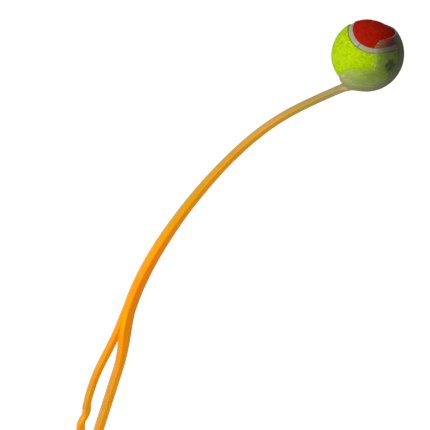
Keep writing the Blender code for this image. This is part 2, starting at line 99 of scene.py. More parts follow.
def meshFrom(name, points, *groups):
    # one mesh from a point array and arrays of faces, each array with its own number of corners
    points = np.asarray(points, float).reshape(-1, 3)
    groups = [np.atleast_2d(group) for group in groups]
    corners = np.concatenate([group.ravel() for group in groups]).astype(np.int32)
    counts = np.concatenate([np.full(len(group), group.shape[1]) for group in groups]).astype(np.int32)
    mesh = bpy.data.meshes.new(name)
    mesh.vertices.add(len(points))
    mesh.vertices.foreach_set("co", points.ravel())
    mesh.loops.add(len(corners))
    mesh.loops.foreach_set("vertex_index", corners)
    mesh.polygons.add(len(counts))
    mesh.polygons.foreach_set("loop_start", (np.cumsum(counts) - counts).astype(np.int32))
    mesh.update(calc_edges=True)
    return mesh


def cleaned(mesh, mergeGap=1e-7):
    # joins coincident points and turns all faces outwards
    shape = bmesh.new()
    shape.from_mesh(mesh)
    bmesh.ops.remove_doubles(shape, verts=shape.verts, dist=mergeGap)
    bmesh.ops.recalc_face_normals(shape, faces=shape.faces)
    shape.to_mesh(mesh)
    shape.free()
    return mesh


def joined(mesh, *others):
    # adds the faces of other meshes to the first
    shape = bmesh.new()
    for each in (mesh, *others):
        shape.from_mesh(each)
    shape.to_mesh(mesh)
    shape.free()


def smoothed(mesh):
    # smooth faces, without any crease of its own
    mesh.polygons.foreach_set("use_smooth", np.ones(len(mesh.polygons), bool))
    return mesh


def newObject(name, mesh, sharpDegrees=50):
    # links the mesh as an object with smooth faces, creased only at sharper angles
    made = bpy.data.objects.new(name, mesh)
    bpy.context.scene.collection.objects.link(made)
    smoothed(mesh).set_sharp_from_angle(angle=math.radians(sharpDegrees))
    return made


def loftObject(name, grid):
    # a closed tube through the rows of a grid, capped at its two ends
    rows, columns = grid.shape[:2]
    first = np.arange(columns)[::-1]
    last = np.arange(columns) + (rows - 1) * columns
    return newObject(name, cleaned(meshFrom(name, grid, gridFaces(rows, columns), first, last)))


def baked(item, sharpDegrees=50):
    # applies an object's modifiers to a mesh of its own
    bpy.context.view_layer.update()
    graph = bpy.context.evaluated_depsgraph_get()
    mesh = bpy.data.meshes.new_from_object(item.evaluated_get(graph))
    item.modifiers.clear()
    item.data = mesh
    mesh.name = item.name
    smoothed(mesh).set_sharp_from_angle(angle=math.radians(sharpDegrees))


def pointsOf(mesh):
    # all points of a mesh as one array
    flat = np.empty(len(mesh.vertices) * 3)
    mesh.vertices.foreach_get("co", flat)
    return flat.reshape(-1, 3)


def setValues(mesh, **layers):
    # named numbers for each point, for a material to read
    for name, values in layers.items():
        layer = mesh.attributes.new(name, "FLOAT", "POINT")
        layer.data.foreach_set("value", np.asarray(values, np.float32))


def waveNoise(points, size, seed, waves=48):
    # many sine waves in random directions, near a given wavelength, added up to about -1 to 1
    random = np.random.default_rng(seed)
    ways = unit(random.normal(size=(waves, 3))) * turn / size * random.uniform(0.7, 1.4, (waves, 1))
    phase = random.uniform(0, turn, waves)
    return np.sin(points @ ways.T + phase).sum(axis=1) / math.sqrt(waves)


# Stem and handle, one moulding

stem = {
    "strapWidth": 17.5 * mm,
    "gripBack": 8.3 * mm,
    "gripFront": 8.8 * mm,
    "backThick": 8.4 * mm,
    "backWidthShare": 0.92,
    "frontThick": 7.1 * mm,
    "frontWidth": 11.4 * mm,
    "frontRootWidthShare": 0.9,
    "frontRootThick": 4 * mm,
    "buttDrop": 57 * mm,
    "buttRadius": 5.5 * mm,
    "riseThickShare": 0.55,
    "riseWidthShare": 0.6,
    "fingerPitch": 21.3 * mm,
    "fingerWave": 0.95 * mm,
    "outerLag": 4.5 * mm,
    "lagStart": 6.4 * mm,
    "gripTaper": 0.02,
    "firstPeak": 41.5 * mm,
    "forkTop": 140 * mm,
    "forkBottom": 78 * mm,
    "frontTop": 156 * mm,
    "frontShares": (1.12, 1.15, 1.11, 0.98, 0.78, 0.57, 0.4, 0.29, 0.2, 0.09, -0.02),
    "webThick": 4 * mm,
    "webEdgeShare": 0.1,
    "webBackTop": 22 * mm,
    "webFrontTop": -12 * mm,
    "webOverlap": 1 * mm,
    "webBlend": 11 * mm,
    "length": 285.8 * mm,
    "startOffset": 1.1 * mm,
    "leanDegrees": (1, 8.5, 14.6, 18.9, 23.4, 28, 35.8, 45.6, 49.9),
    "thick": 11.6 * mm,
    "thickShares": (1, 0.95, 0.86, 0.74, 0.66, 0.57, 0.53, 0.51, 0.5),
    "widthShares": (1, 0.97, 0.95, 0.9, 0.85, 0.78, 0.72, 0.66, 0.63),
    "edgeShare": 0.46,
    "ridgePower": 1.9,
    "ridgeShift": 0.35,
    "ridgeClimb": 0.35,
    "climbStart": 0.25,
    "climbRun": 0.5,
    "ridgeBlend": 1.6 * mm,
    "swingPower": 0.88,
    "thinPower": 2,
    "scarfLength": 120 * mm,
    "scarfStart": 0.4 * mm,
    "hiddenShare": 0.08,
    "tongueTip": 1.3 * mm,
    "tongueReach": 7 * mm,
    "tongueShown": 1.6 * mm,
    "tongueFull": 2.4 * mm,
    "tongueShrink": 0.8,
    "gap": 0.05 * mm,
    "under": 0.8 * mm,
    "proud": 0.06 * mm,
    "proudRun": 0.05,
    "voxel": 0.6 * mm,
    "softenRounds": 3,
    "rows": {"track": 400, "stem": 420, "fork": 90, "back": 150, "rise": 20, "web": 120,
             "tang": 160, "foot": 80},
}


def stemPath(share, fineSteps=601):
    # sums the lean along the stem, from the fork up to the cup
    fine = np.linspace(0, 1, fineSteps)
    lean = np.radians(smoothTable(stem["leanDegrees"], fine))
    step = stem["length"] * np.diff(fine, prepend=0)
    x = stem["startOffset"] + np.cumsum(np.sin(lean) * step)
    z = stem["forkTop"] + np.cumsum(np.cos(lean) * step)
    return np.stack([np.interp(share, fine, x), np.interp(share, fine, z)], axis=1)


def stemSize(share):
    # thickness and width along the stem
    thick = stem["thick"] * smoothTable(stem["thickShares"], share)
    return thick, stem["strapWidth"] * smoothTable(stem["widthShares"], share)


def stemEnd():
    # last point, direction there and the normal on the outer, convex side
    lean = math.radians(stem["leanDegrees"][-1])
    along = np.array([math.sin(lean), math.cos(lean)])
    return stemPath(np.ones(1))[0], along, np.array([-along[1], along[0]])


def pathNormals(path):
    # unit normals to the left of a path in the side plane
    tangent = unit(np.gradient(path, axis=0))
    return np.stack([-tangent[:, 1], tangent[:, 0]], axis=1)


def ridgeShift(share):
    # how far the side ridge lies towards the outer side, in edge radii, rising along the stem
    return stem["ridgeShift"] + stem["ridgeClimb"] * smoothStep(share, stem["climbStart"], stem["climbRun"])


def flank(angle, side, thick, width, edge, shift):
    # out along the normal by side (t/2 - e + e cos^p) + e k sin^p, across by w/2 - e + e sin^p
    bulge = np.abs(np.sin(angle)) ** stem["ridgePower"]
    inward = np.abs(np.cos(angle)) ** stem["ridgePower"]
    return side * (thick / 2 - edge + edge * inward) + edge * shift * bulge, width / 2 - edge + edge * bulge


def sectionGrid(path, normal, thick, width, edge, limit=None, keepBelow=False, shift=stem["ridgeShift"]):
    # rings of four eased corners across a path, cut flat at a limit along the normal
    steps, fineSteps = 9, 41
    angle = (turn / 4 * (np.arange(4)[:, None] + np.arange(steps + 1)[None, :] / steps)).ravel()
    side = np.repeat(np.array([1, -1, -1, 1]), steps + 1)
    level = np.repeat(np.array([1, 1, -1, -1]), steps + 1)
    shift = np.broadcast_to(shift, len(path))
    sizes = [np.asarray(value, float)[:, None] for value in (thick, width, edge, shift)]
    out, reach = flank(angle, side, *sizes)
    across = level * reach
    if limit is not None:
        # the cut's own corners lie where the flank passes through the limit
        rise = np.linspace(0, turn / 4, fineSteps)
        levels, reaches = flank(np.concatenate([rise, rise[::-1]]), np.repeat([-1, 1], fineSteps), *sizes)
        limit = limit[:, None]
        after = np.maximum(np.argmax(levels > limit, axis=1), 1)[:, None]
        low, high = (np.take_along_axis(levels, after - step, axis=1) for step in (1, 0))
        part = np.clip((limit - low) / np.maximum(high - low, tiny), 0, 1)
        low, high = (np.take_along_axis(reaches, after - step, axis=1) for step in (1, 0))
        beyond = out > limit if keepBelow else out < limit
        across = np.where(beyond, level * (low + part * (high - low)), across)
        out = np.where(beyond, limit, out)
    x = path[:, :1] + normal[:, :1] * out
    z = path[:, 1:] + normal[:, 1:] * out
    return leanToWorld(np.stack([x, across, z], axis=-1))


def frontArmX(z, lag=0.0):
    # a spreading arm above the fingers, then cosine waves with a slight taper
    s = stem
    share = (z - s["firstPeak"]) / (s["frontTop"] - s["firstPeak"])
    spread = s["gripFront"] * smoothTable(s["frontShares"], share)
    depth = s["gripFront"] - s["gripTaper"] * (s["firstPeak"] - z)
    wave = depth + s["fingerWave"] * np.cos(turn * (z + lag - s["firstPeak"]) / s["fingerPitch"])
    return -np.where(z > s["firstPeak"], spread, wave)


def forkRun(z):
    # 0 at the fork's top and 1 at its bottom
    return np.clip((stem["forkTop"] - z) / (stem["forkTop"] - stem["forkBottom"]), 0, 1)


def backArmX(z):
    # swings out from the stem's foot to the straight back of the grip
    swing = smoothStep(forkRun(z) ** stem["swingPower"])
    return stem["startOffset"] + (stem["gripBack"] - stem["startOffset"]) * swing


def arcPoints(centre, radius, start, end, steps=24):
    # points of a circle's arc between two angles in degrees
    angle = np.radians(np.linspace(start, end, steps + 1))
    return np.array(centre) + radius * np.stack([np.cos(angle), np.sin(angle)], axis=1)


def tangStart():
    # the stem's share where the tang is deep enough to show
    return 1 - stem["scarfLength"] * (1 - stem["hiddenShare"]) / stem["length"]


def scarfOffset(share):
    # how far the joint between the two plastics lies along the stem's normal, a straight slant
    thick, _ = stemSize(share)
    start = 1 - stem["scarfLength"] / stem["length"]
    rise = np.clip((share - start) / (1 - start), 0, 1)
    low, high = stem["scarfStart"] - thick / 2, thick / 2 - stem["tongueTip"]
    return low + (high - low) * rise


def stemPlaces(spots):
    # each point's place along the moulding, 0 at the butt and 1 at the cup, and 1 on its outer side
    s = stem
    x, z = worldToLean(spots[:, 0], spots[:, 2])
    fine = np.linspace(0, 1, s["rows"]["track"])
    track = stemPath(fine)
    share = np.interp(x + z, track.sum(axis=1), fine)
    centreX, centreZ = (np.interp(share, fine, track[:, axis]) for axis in (0, 1))
    lean = np.radians(smoothTable(s["leanDegrees"], share))
    outStem = (z - centreZ) * np.sin(lean) - (x - centreX) * np.cos(lean)
    backX, frontX = backArmX(z), frontArmX(z)
    # the web's colour runs from the front arm's to the back arm's, and above it the gap parts the two
    blend = np.where(z < s["webBackTop"], s["webBlend"], s["gap"])
    nearBack = smoothStep(0.5 + (x - (backX + frontX) / 2) / blend)
    sides = ((outStem, stemSize(share)[0], ridgeShift(share)), (frontX - x, s["frontThick"], s["ridgeShift"]),
             (backX - x, s["backThick"], s["ridgeShift"]))
    onStem, onFront, onBack = (smoothStep(0.5 + (out - thick * s["edgeShare"] * shift) / s["ridgeBlend"])
                               for out, thick, shift in sides)
    above = z > s["forkTop"]
    # this share picks the outer or the inner side's colours, whose difference is painted light and shade
    outer = np.where(above, onStem, onFront + (onBack - onFront) * nearBack)
    grip = s["buttDrop"] + s["forkTop"]
    along = np.where(above, grip + s["length"] * share, s["buttDrop"] + z) / (grip + s["length"])
    return np.clip(along, 0, 1), outer


def strapGrid():
    # one strap from the tongue down the stem and the back arm, round the butt and up under the front arm
    s, rows = stem, stem["rows"]
    turnZ = s["backThick"] / 2 - s["buttDrop"] + s["buttRadius"]
    share = np.linspace(1, 0, rows["stem"])
    forkZ = np.linspace(s["forkTop"], s["forkBottom"], rows["fork"])[1:]
    straightZ = np.linspace(s["forkBottom"], turnZ, rows["back"])[1:-1]
    riseZ = np.linspace(turnZ, turnZ + 2 * s["buttRadius"], rows["rise"])[1:]
    end, along, _ = stemEnd()
    tongue = np.array([[s["tongueReach"]], [s["tongueFull"]]])
    path = np.concatenate([
        end + along * tongue,
        stemPath(share),
        np.stack([backArmX(forkZ), forkZ], axis=1),
        np.stack([np.full(len(straightZ), s["gripBack"]), straightZ], axis=1),
        arcPoints((s["gripBack"] - s["buttRadius"], turnZ), s["buttRadius"], 0, -90),
        arcPoints((s["buttRadius"] - s["gripFront"], turnZ), s["buttRadius"], -90, -180),
        np.stack([frontArmX(riseZ), riseZ], axis=1),
    ])
    forkShare = smoothStep(forkRun(forkZ))
    rest = len(path) - len(tongue) - len(share) - len(forkZ) - len(riseZ)

    def alongPath(stemSizes, topSize, gripSize, riseShare, power):
        # a size for each row: tongue, stem, fork, grip and rise
        fork = topSize + forkShare ** power * (gripSize - topSize)
        risen = gripSize * np.linspace(1, riseShare, len(riseZ))
        return np.concatenate([stemSizes[:1] * s["tongueShrink"], stemSizes[:1], stemSizes, fork,
                               np.full(rest, gripSize), risen])

    stemThick, stemWidth = stemSize(share)
    thick = alongPath(stemThick, s["thick"], s["backThick"], s["riseThickShare"], s["thinPower"])
    backWidth = s["strapWidth"] * s["backWidthShare"]
    width = alongPath(stemWidth, s["strapWidth"], backWidth, s["riseWidthShare"], 1)
    # the cut runs on a little under the tang
    cut = np.where(share >= tangStart(), scarfOffset(share) - s["under"], -noCut)
    below = len(path) - len(tongue) - len(share)
    limit = np.concatenate([cut[[0, 0]], cut, np.full(below, -noCut)])
    shift = np.concatenate([ridgeShift(share[[0, 0]]), ridgeShift(share), np.full(below, s["ridgeShift"])])
    # the path runs downwards, so its normals are turned outwards
    edge = thick * s["edgeShare"]
    return sectionGrid(path, -pathNormals(path), thick, width, edge, limit=limit, shift=shift)


def armGrid():
    # the front arm, whose outer side waves a little behind its inner side
    s = stem
    z = np.linspace(s["frontTop"], s["backThick"] / 2 - s["buttDrop"] + s["buttRadius"], s["rows"]["stem"])
    root = smoothStep((s["frontTop"] - z) / (s["frontTop"] - s["forkTop"]))
    lagged = (frontArmX(z) - frontArmX(z, s["outerLag"])) * smoothStep((s["firstPeak"] - z) / s["lagStart"])
    path = np.stack([frontArmX(z) - lagged / 2, z], axis=1)
    thick = s["frontRootThick"] + (s["frontThick"] - s["frontRootThick"]) * root + lagged
    width = s["frontWidth"] * (s["frontRootWidthShare"] + (1 - s["frontRootWidthShare"]) * root)
    return sectionGrid(path, -pathNormals(path), thick, width, thick * s["edgeShare"])


def webGrid():
    # a thin web between the arms, its top on a slant from the back arm down to the front arm
    s = stem
    z = np.linspace(s["backThick"] / 2 - s["buttDrop"], s["webBackTop"] - s["webOverlap"], s["rows"]["web"])
    slopeX = float(frontArmX(np.array([s["webFrontTop"]]))[0])
    climb = np.clip((z - s["webFrontTop"]) / (s["webBackTop"] - s["webFrontTop"]), 0, 1)
    front = np.where(z > s["webFrontTop"], slopeX + (s["gripBack"] - slopeX) * climb, frontArmX(z))
    path = np.stack([(front + s["gripBack"]) / 2, z], axis=1)
    normal = np.tile(np.array([[1.0, 0.0]]), (len(z), 1))
    width = np.full(len(z), s["webThick"])
    return sectionGrid(path, normal, s["gripBack"] - front, width, width * s["webEdgeShare"])


def makeHandleStem():
    # strap, front arm and web, fused by a voxel remesh that leaves moulded fillets
    s = stem
    strap, arm, web = (loftObject(name, grid) for name, grid in (
        ("handleStem", strapGrid()), ("armHelper", armGrid()), ("webHelper", webGrid())))
    joined(strap.data, arm.data, web.data)
    for helper in (arm, web):
        bpy.data.objects.remove(helper, do_unlink=True)
    remesh = strap.modifiers.new("Fuse", "REMESH")
    remesh.mode = "VOXEL"
    remesh.voxel_size = s["voxel"]
    soften = strap.modifiers.new("Soften", "SMOOTH")
    soften.factor = 0.5
    soften.iterations = s["softenRounds"]
    baked(strap)
    along, outer = stemPlaces(pointsOf(strap.data))
    setValues(strap.data, along=along, outer=outer)
    return strap


# Clear cup and its tang

cup = {
    "inner": 32.8 * mm,
    "wall": 1.4 * mm,
    "lowRim": -0.105,
    "dipStart": -0.25,
    "dip": 1.9,
    "hoodEdge": 0.125,
    "hoodTop": 0.62,
    "hoodCorner": 0.15,
    "notchCorner": 0.1,
    "mouth": math.radians(105.3),
    "neckRim": math.radians(88),
    "neckDip": (142, 168),
    "releaseDegrees": 43,
    "footWidth": 19 * mm,
    "upperSpread": 1.8 * mm,
    "cornerPull": 2.2,
    "lowerAngle": math.radians(8),
    "edge": 2 * mm,
    "jointDepth": 0.05 * mm,
    "jointProud": 1.8 * mm,
    "jointReach": 20 * mm,
    "jointRounds": 16,
    "tangFade": 2.4 * mm,
    "milkStart": 6 * mm,
    "milkRun": 16 * mm,
    "flowStart": -5 * mm,
    "flowRun": 16 * mm,
    "veilStart": 2 * mm,
    "veilRun": 30 * mm,
    "bandStart": 0.3 * mm,
    "bandRun": 0.6 * mm,
    "meridians": 288,
    "wallRows": 70,
    "rimRows": 13,
    "mergeGap": 1e-6,
}


def releaseFrame():
    # the way the ball leaves, across it in the side plane, and y
    angle = math.radians(cup["releaseDegrees"])
    away = np.array([-math.sin(angle), 0, math.cos(angle)])
    side = np.array([math.cos(angle), 0, math.sin(angle)])
    return away, side, np.array([0.0, 1.0, 0.0])


def outsideCup(x, z):
    # below zero where the cup has wall: a low bowl joined to a hood at the tip, corners rounded
    c = cup
    low = np.maximum(c["dipStart"] - x, 0)
    bowl = z - (c["lowRim"] - c["dip"] * low ** 3)
    a, b, r = c["hoodEdge"] - x, z - c["hoodTop"], c["hoodCorner"]
    hood = np.minimum(-r, np.maximum(a, b)) + np.hypot(np.maximum(r + a, 0), np.maximum(r + b, 0))
    r = c["notchCorner"]
    near = np.hypot(np.maximum(r - bowl, 0), np.maximum(r - hood, 0))
    return np.maximum(r, np.minimum(bowl, hood)) - near


def rimAngles(azimuth, span=(40, 140), steps=2001):
    # where each meridian from the cup's deepest point first leaves the wall, dipping at the neck
    away, side, across = releaseFrame()
    polar = np.radians(np.linspace(*span, steps))
    heading = np.cos(azimuth)[:, None] * side + np.sin(azimuth)[:, None] * across
    x = -np.cos(polar) * away[0] + np.sin(polar) * heading[:, :1]
    z = -np.cos(polar) * away[2] + np.sin(polar) * heading[:, 2:]
    level = outsideCup(x, z)
    first = np.argmax(level > 0, axis=1)
    row = np.arange(len(azimuth))
    part = level[row, first] / (level[row, first] - level[row, first - 1])
    openAngle = np.minimum(polar[first] - part * (polar[first] - polar[first - 1]), cup["mouth"])
    start, end = np.radians(cup["neckDip"])
    wrapped = np.abs((azimuth + turn / 2) % turn - turn / 2)
    dip = smoothStep(wrapped, start, end - start)
    return openAngle + dip * (cup["neckRim"] - openAngle)


def makeShell():
    # meridians out along the outer sphere, round the rim and back along the inner sphere
    away, side, across = releaseFrame()
    azimuth = np.linspace(0, turn, cup["meridians"], endpoint=False)
    rim = rimAngles(azimuth)[None, :]
    half = cup["wall"] / 2
    middle = cup["inner"] + half
    share = np.linspace(0, 1, cup["wallRows"])[:, None]
    roundOff = np.linspace(0, turn / 2, cup["rimRows"])[1:-1, None]
    pull = half / middle
    polar = np.concatenate([
        share * (rim - pull),
        rim - pull + pull * np.sin(roundOff),
        share[::-1] * (rim - pull),
    ])
    radius = middle + half * np.concatenate([np.ones_like(share), np.cos(roundOff), -np.ones_like(share)])
    heading = np.cos(azimuth)[:, None] * side + np.sin(azimuth)[:, None] * across
    spot = np.sin(polar)[..., None] * heading - np.cos(polar)[..., None] * away
    grid = place["cupCentre"] + radius[..., None] * spot
    mesh = meshFrom("ballCup", grid, gridFaces(*grid.shape[:2]))
    return newObject("ballCup", cleaned(mesh, cup["mergeGap"]))


def conic(start, corner, end, u):
    # a quadratic curve from start to end whose corner pulls harder than its ends
    pull = 2 * cup["cornerPull"] * u * (1 - u)
    return (start * (1 - u) ** 2 + corner * pull + end * u ** 2) / ((1 - u) ** 2 + pull + u ** 2)


def makeNeck():
    # the stem's outline under the joint, then a foot bent down the cup's wall
    s, c = stem, cup
    share = np.linspace(tangStart(), 1, s["rows"]["tang"])
    u = np.linspace(0, 1, s["rows"]["foot"] + 1)[1:, None]
    path = stemPath(share)
    normal = pathNormals(path)
    proud = s["proud"] * smoothStep(share, share[0], s["proudRun"])
    thick, width = (size + 2 * proud for size in stemSize(share))
    upper, lower = path + normal * thick[:, None] / 2, path - normal * thick[:, None] / 2
    end, along, outward = stemEnd()

    # the lower side runs tangent into the wall at the foot's own angle under the cup
    centre = worldToLean(*place["cupCentre"][[0, 2]])
    middle = c["inner"] + c["wall"] / 2
    foot = worldToLean(-math.sin(c["lowerAngle"]), -math.cos(c["lowerAngle"]))
    footEnd = centre + middle * foot
    footWay = np.array([-foot[1], foot[0]])
    back = np.linalg.solve(np.stack([along, -footWay], axis=1), footEnd - lower[-1])
    lowerCurve = conic(lower[-1], lower[-1] + along * back[0], footEnd, u)

    # the upper side runs straight on to the wall and turns up it
    reach = upper[-1] - centre
    run = -reach @ along - math.sqrt((reach @ along) ** 2 - reach @ reach + middle ** 2)
    crook = upper[-1] + along * run
    wallWay = np.array([-(crook - centre)[1], (crook - centre)[0]]) / middle
    wallWay = wallWay if wallWay @ outward > 0 else -wallWay
    upperCurve = conic(upper[-1], crook, crook + wallWay * c["upperSpread"], u)

    upper, lower = np.concatenate([upper, upperCurve]), np.concatenate([lower, lowerCurve])
    toFoot = np.concatenate([np.zeros(len(share)), smoothStep(u[:, 0])])
    width = np.concatenate([width, np.full(len(u), width[-1])])
    width = width + (c["footWidth"] - width) * toFoot
    chord = np.linalg.norm(upper - lower, axis=1)
    way = (upper - lower) / chord[:, None]
    spot = (upper + lower) / 2
    edge = chord * s["edgeShare"] * (1 - toFoot) + c["edge"] * toFoot
    shift = np.concatenate([ridgeShift(share), ridgeShift(1.0) * (1 - smoothStep(2 * u[:, 0]))])

    # the joint's line, carried on past the stem's end until the coloured tongue goes inside
    offset = scarfOffset(share) - s["gap"]
    onward = spot[len(share):] - end
    cut = (outward * offset[-1] - onward) @ outward / (way[len(share):] @ outward)
    limit = np.concatenate([offset, np.where(onward @ along < s["tongueShown"], cut, noCut)])
    grid = sectionGrid(spot, way, chord, width, edge, limit=limit, keepBelow=True, shift=shift)
    away = grid - place["cupCentre"]
    distance = np.linalg.norm(away, axis=-1, keepdims=True)
    return loftObject("neckHelper", place["cupCentre"] + away * np.maximum(1, middle / distance))


def makeBallCup():
    # the shell with the neck joined to its outside, and the numbers that its material reads
    c = cup
    shell, neck = makeShell(), makeNeck()
    union = shell.modifiers.new("Join", "BOOLEAN")
    union.operation, union.solver, union.object = "UNION", "EXACT", neck
    baked(shell, 40)
    bpy.data.objects.remove(neck, do_unlink=True)

    # a fillet: the points near the joint are smoothed
    end = leanToWorld(np.insert(stemEnd()[0], 1, 0))
    neckSpot = unit(end - place["cupCentre"]) * (c["inner"] + c["wall"])
    spots = pointsOf(shell.data) - place["cupCentre"]
    proud = np.linalg.norm(spots, axis=1) - c["inner"] - c["wall"]
    near = np.linalg.norm(spots - neckSpot, axis=1) < c["jointReach"]
    joint = np.flatnonzero((proud > -c["jointDepth"]) & (proud < c["jointProud"]) & near)
    shell.vertex_groups.new(name="joint").add(joint.tolist(), 1, "REPLACE")
    fillet = shell.modifiers.new("Fillet", "SMOOTH")
    fillet.factor, fillet.iterations, fillet.vertex_group = 0.5, c["jointRounds"], "joint"
    baked(shell, 60)

    spots = pointsOf(shell.data) - place["cupCentre"]
    distance = np.linalg.norm(spots, axis=1)
    fromNeck = spots - neckSpot
    onward = fromNeck @ leanToWorld(np.insert(stemEnd()[1], 1, 0))
    # the rim's own band is measured from the rim's line down the wall
    away, side, across = releaseFrame()
    ways = spots / distance[:, None]
    table = np.linspace(-turn / 2, turn / 2, 721)
    rim = np.interp(np.arctan2(ways @ across, ways @ side), table, rimAngles(table))
    below = (rim - np.arccos(np.clip(-ways @ away, -1, 1))) * c["inner"]
    along, outer = stemPlaces(pointsOf(shell.data))
    setValues(
        shell.data,
        tang=smoothStep(distance - c["inner"] - c["wall"], 0, c["tangFade"]),
        milk=1 - smoothStep(np.linalg.norm(fromNeck, axis=1), c["milkStart"], c["milkRun"]),
        flow=smoothStep(onward, c["flowStart"], c["flowRun"]),
        veil=smoothStep(-spots[:, 2], c["veilStart"], c["veilRun"]),
        rim=1 - smoothStep(below, c["bandStart"], c["bandRun"]),
        along=along,
        outer=outer,
    )
    return shell


# Felt ball

ball = {
    "turns": (-107.5, 23.3, 140.9),
    "swing": 0.12,
    "gap": 0.12 * mm,
    "shoulder": 0.9 * mm,
    "lobe": math.radians(80),
    "napFine": (0.05 * mm, 1.3 * mm),
    "napCoarse": (0.06 * mm, 6 * mm),
    "swellWay": (-0.93, -0.137, -0.35),
    "swell": 0.8 * mm,
    "swellSpread": math.radians(42),
    "columns": 480,
    "outerRows": 76,
    "shoulderRows": 7,
    "innerRows": 14,
    "mergeGap": 2e-6,
}

seam = {
    "width": 5 * mm,
    "drop": 0.7 * mm,
    "gap": 0.5 * mm,
    "jointTurn": 0.644,
    "crown": 0.22 * mm,
    "crownPower": 2.2,
    "shoulder": 0.5 * mm,
    "flatShare": 0.86,
    "rows": 700,
    "columns": 15,
}


def ballMatrix():
    # turns about x, then y, then z
    made = np.eye(3)
    for degrees, (p, q) in zip(ball["turns"], ((1, 2), (2, 0), (0, 1))):
        a = math.radians(degrees)
        step = np.eye(3)
        step[p, p] = step[q, q] = math.cos(a)
        step[p, q], step[q, p] = -math.sin(a), math.sin(a)
        made = step @ made
    return made


def seamPoint(t):
    # a tennis ball's seam on the unit sphere: two circular waves and a double sine in height
    b = ball["swing"]
    a = 1 - b
    return np.stack([
        a * np.cos(t) + b * np.cos(3 * t),
        a * np.sin(t) - b * np.sin(3 * t),
        2 * math.sqrt(a * b) * np.sin(2 * t),
    ], axis=-1)


def seamFrame(t, nudge=0.001):
    # the seam's point and the unit vector across it on the sphere
    point = seamPoint(t)
    return point, unit(np.cross(point, seamPoint(t + nudge) - seamPoint(t - nudge)))


def slerp(a, b, share):
    # along the great circle from a to b
    angle = np.arccos(np.clip((a * b).sum(axis=-1, keepdims=True), -1, 1))
    return (np.sin((1 - share) * angle) * a + np.sin(share * angle) * b) / np.sin(angle)


def feltRows(side):
    # each row runs round the panel: from its middle arc out to the edge, down and back inside
    r, e = place["ballRadius"], ball["shoulder"]
    t = -turn / 8 * side + turn * np.arange(ball["columns"]) / ball["columns"]
    point, across = seamFrame(t)
    theta = ball["lobe"] * np.cos(t + turn / 8 * side)
    longWay = np.array([1, -side, 0]) / math.sqrt(2)
    arc = np.sin(theta)[:, None] * longWay + np.cos(theta)[:, None] * np.array([0, 0, side])
    across = across * np.sign(((arc - point) * across).sum())
    half = (seam["width"] / 2 + ball["gap"]) / r
    edge = math.cos(half) * point + math.sin(half) * across
    length = np.arccos(np.clip((edge * arc).sum(axis=1), -1, 1))[:, None]
    inset = e / r
    rows = [r * slerp(edge, arc, (inset + share * (length - inset)) / length)
            for share in np.linspace(1, 0, ball["outerRows"])]
    for a in np.linspace(turn / 4, 0, ball["shoulderRows"])[1:]:
        rows.append((r - e * (1 - math.sin(a))) * slerp(edge, arc, inset * (1 - math.cos(a)) / length))
    for share in np.linspace(0, 1, ball["innerRows"]):
        rows.append(place["feltInner"] * slerp(edge, arc, share))
    return np.stack(rows)


def swellAt(ways):
    # the felt's soft bulge on the ball's open side, a bell curve over the angle from its middle
    angle = np.arccos(np.clip(ways @ unit(np.array(ball["swellWay"])), -1, 1))
    return ball["swell"] * np.exp(-(angle / ball["swellSpread"]) ** 2)


paw = {
    "spot": (0.579, -0.808, -0.108),
    "up": (0.15, 0.1, 1.0),
    "softStart": 0.05,
    "softRun": 2,
    # across, up, half width and half height in mm: the pad, then four toes
    "blobs": ((0, -1.5, 3.9, 3.6), (-4.4, 1.7, 1.5, 2.1), (-1.6, 4.0, 1.55, 2.3),
              (1.7, 4.0, 1.55, 2.3), (4.5, 1.6, 1.5, 2.1)),
}


def pawPrint(directions):
    # a plain print as soft-edged ellipses round a spot on the ball
    spot, up = unit(np.array(paw["spot"])), np.array(paw["up"])
    upWay = unit(up - spot * (spot @ up))
    u = directions @ np.cross(upWay, spot) * place["ballRadius"]
    v = directions @ upWay * place["ballRadius"]
    clear = np.ones(len(directions))
    for x, y, wide, tall in paw["blobs"]:
        reach = np.hypot((u - x * mm) / (wide * mm), (v - y * mm) / (tall * mm))
        clear *= smoothStep(reach, paw["softStart"], paw["softRun"])
    return (1 - clear) * (directions @ spot > 0)


fibre = {
    "count": 7000,
    "length": 0.9 * mm,
    "lengthShares": (0.5, 1.1),
    "width": 0.07 * mm,
    "bendWidthShare": 0.6,
    "bend": (0.32, 0.35),
    "tip": (0.38, 0.9),
    "rootDepth": 0.4 * mm,
    "scatter": 0.25 * mm,
    "mergeGap": 1e-9,
}


def fibreMesh(roots, normals, seed):
    # thin three-sided spikes: a ring under the surface, a ring at the bend and a tip, up and along the lean
    random = np.random.default_rng(seed)
    count = len(roots)
    lean = random.normal(size=(count, 3))
    lean = unit(lean - normals * (lean * normals).sum(axis=1, keepdims=True))
    other = np.cross(normals, lean)
    tall = fibre["length"] * random.uniform(*fibre["lengthShares"], (count, 1))
    width, corners = fibre["width"], (0, turn / 3, 2 * turn / 3)
    bend, tip = (roots + normals * tall * up + lean * tall * on for up, on in (fibre["bend"], fibre["tip"]))
    ring = []
    for centre, size in ((roots - normals * width, width), (bend, fibre["bendWidthShare"] * width)):
        ring += [centre + size * (math.cos(a) * lean + math.sin(a) * other) for a in corners]
    base = np.arange(count)[:, None, None] * 7
    quads = np.array([[0, 1, 4, 3], [1, 2, 5, 4], [2, 0, 3, 5]])
    tips = np.array([[3, 4, 6], [4, 5, 6], [5, 3, 6], [0, 2, 1]])
    faces = [(base + group).reshape(-1, group.shape[1]) for group in (quads, tips)]
    return cleaned(meshFrom("fuzz", np.stack(ring + [tip], axis=1), *faces), fibre["mergeGap"])


